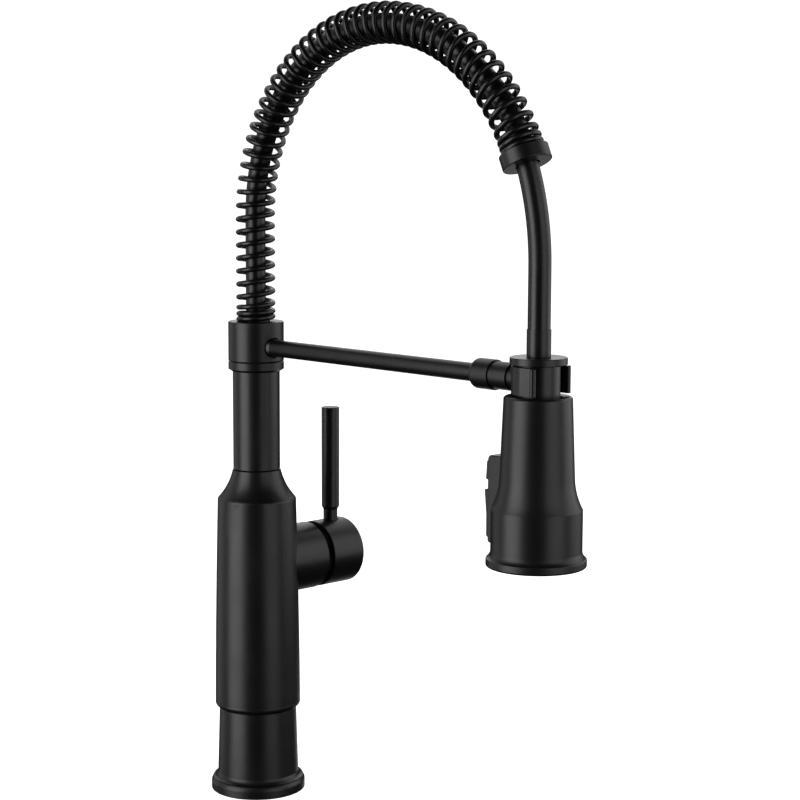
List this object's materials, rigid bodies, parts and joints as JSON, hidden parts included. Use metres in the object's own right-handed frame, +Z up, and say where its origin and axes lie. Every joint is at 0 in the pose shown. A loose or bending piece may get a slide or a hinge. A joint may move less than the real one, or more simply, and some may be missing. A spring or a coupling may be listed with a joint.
{
  "type": "pre rinse faucet",
  "caption": "Tall single-lever faucet with an open coil spring arched over its spray hose and a spray wand docked in an open clip on its swivelling arm.",
  "frame": {"origin": "centre of the base, on the deck it stands on", "axes": "+Z up along the post, +X along the dock arm towards the wand, +Y towards the handle"},
  "size_m": [0.2848, 0.0989, 0.4712],
  "materials": {
    "matte_black": "satin",
    "spring_black": "satin",
    "wand_black": "satin",
    "dock_black": "satin",
    "face_black": "satin",
    "toggle_black": "satin",
    "hose_black": "satin",
    "nozzle_rubber": "matte",
    "seal_rubber": "matte",
    "brass": "satin",
    "tube_metal": "satin",
    "steel": "satin",
    "acetal": "satin",
    "ceramic_disc": "satin"
  },
  "bodies": {
    "post": {"deck_gasket": "seal_rubber", "mounting_base": "brass", "base_skirt": "matte_black", "body_lock_ring": "brass", "body_shell": "matte_black", "handle_boss": "matte_black", "valve_body": "brass", "hot_tube": "tube_metal", "cold_tube": "tube_metal", "water_column": "tube_metal", "riser_tube": "matte_black", "swivel_spigot": "brass", "swivel_ring": "matte_black", "swivel_bush": "acetal", "swivel_seals": "seal_rubber", "cartridge_housing": "acetal", "base_seals": "seal_rubber", "fixed_disc": "ceramic_disc", "bonnet_nut": "brass", "bonnet_dome": "matte_black"},
    "valve_rotor": {"cartridge_carrier": "acetal", "stem_pin": "steel"},
    "disc_group": {"moving_disc": "ceramic_disc", "disc_driver": "acetal"},
    "handle": {"valve_stem": "steel", "handle_hub": "matte_black", "handle_lever": "matte_black", "hub_set_screw": "steel"},
    "spout": {"arm_collar": "matte_black", "hose_spring": "spring_black", "spring_seat": "dock_black", "hose_nipple": "brass", "spray_hose": "hose_black", "spring_end_cap": "matte_black", "dock_arm": "matte_black", "arm_set_screw": "steel", "arm_ferrule": "matte_black", "dock_coupler": "matte_black", "dock_magnet": "steel", "dock_clip": "dock_black"},
    "hose_end": {"hose_ferrule": "matte_black", "hose_tail": "matte_black"},
    "wand": {"wand_collar": "wand_black", "wand_shell": "wand_black", "spray_shell": "wand_black", "face_ring": "face_black", "spray_plate": "face_black", "nozzle_mat": "nozzle_rubber", "aerator": "acetal", "check_valve": "acetal", "diverter_body": "acetal", "wand_seals": "seal_rubber", "toggle_housing": "wand_black", "toggle_pin": "steel"},
    "toggle": {"spray_toggle": "toggle_black"},
    "plunger": {"diverter_plunger": "acetal"}
  },
  "joints": [
    {"name": "spout_swivel", "type": "hinge", "parent": "post", "child": "spout", "pos_m": [0, 0, 0.272], "axis": [0, 0, 1], "continuous": true},
    {"name": "wand_undock", "type": "slide", "parent": "spout", "child": "hose_end", "axis": [1, 0, 0], "range_m": [0, 0.045], "deforming": ["spray_hose"]},
    {"name": "wand_spin", "type": "hinge", "parent": "hose_end", "child": "wand", "pos_m": [0.2296, 0, 0.272], "axis": [0, 0, 1], "continuous": true},
    {"name": "toggle_rock", "type": "hinge", "parent": "wand", "child": "toggle", "pos_m": [0.2031, 0, 0.2145], "axis": [0, 1, 0], "range_deg": [0, 7]},
    {"name": "plunger_slide", "type": "slide", "parent": "wand", "child": "plunger", "axis": [1, 0, 0], "range_m": [0, 0.00095]},
    {"name": "handle_temperature", "type": "hinge", "parent": "post", "child": "valve_rotor", "pos_m": [0, 0.03, 0.1395], "axis": [0, 1, 0], "range_deg": [-45, 45]},
    {"name": "handle_flow", "type": "hinge", "parent": "valve_rotor", "child": "handle", "pos_m": [0, 0.03, 0.1395], "axis": [-1, 0, 0], "range_deg": [0, 18]},
    {"name": "disc_slide", "type": "slide", "parent": "valve_rotor", "child": "disc_group", "axis": [0, 0, 1], "range_m": [0, 0.00255]}
  ],
  "couplings": [
    {"joint": "plunger_slide", "follows": "toggle_rock", "m_per_rad": 0.0075},
    {"joint": "disc_slide", "follows": "handle_flow", "m_per_rad": 0.008}
  ]
}
